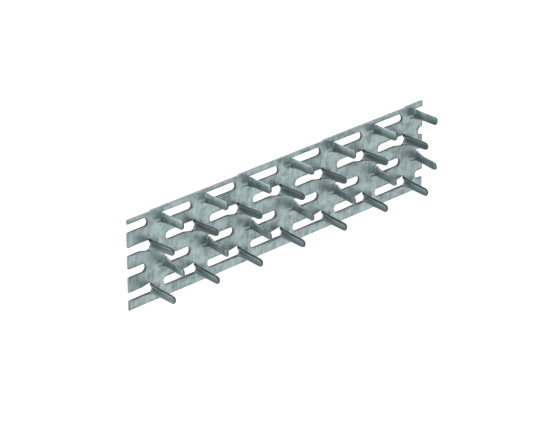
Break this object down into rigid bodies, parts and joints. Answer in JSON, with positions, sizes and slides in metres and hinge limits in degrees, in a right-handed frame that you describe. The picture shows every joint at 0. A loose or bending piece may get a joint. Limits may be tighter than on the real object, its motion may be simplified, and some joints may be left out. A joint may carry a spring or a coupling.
{
  "type": "truss nail plate",
  "caption": "Flat galvanised steel strip with staggered rows of punched, channel-shaped teeth bent upright, pressed into timber to join truss members.",
  "frame": {"origin": "centre of the strip's length and width, on its flat back", "axes": "+X along the strip, +Y across it towards the stepped edge, +Z from the flat back towards the tooth tips"},
  "size_m": [0.1324, 0.0326, 0.012],
  "materials": {
    "galvanised_steel": "dull satin zinc coating, softly mottled, with darker sheared edges"
  },
  "bodies": {
    "root": {"nail_plate": "galvanised_steel"}
  },
  "joints": []
}
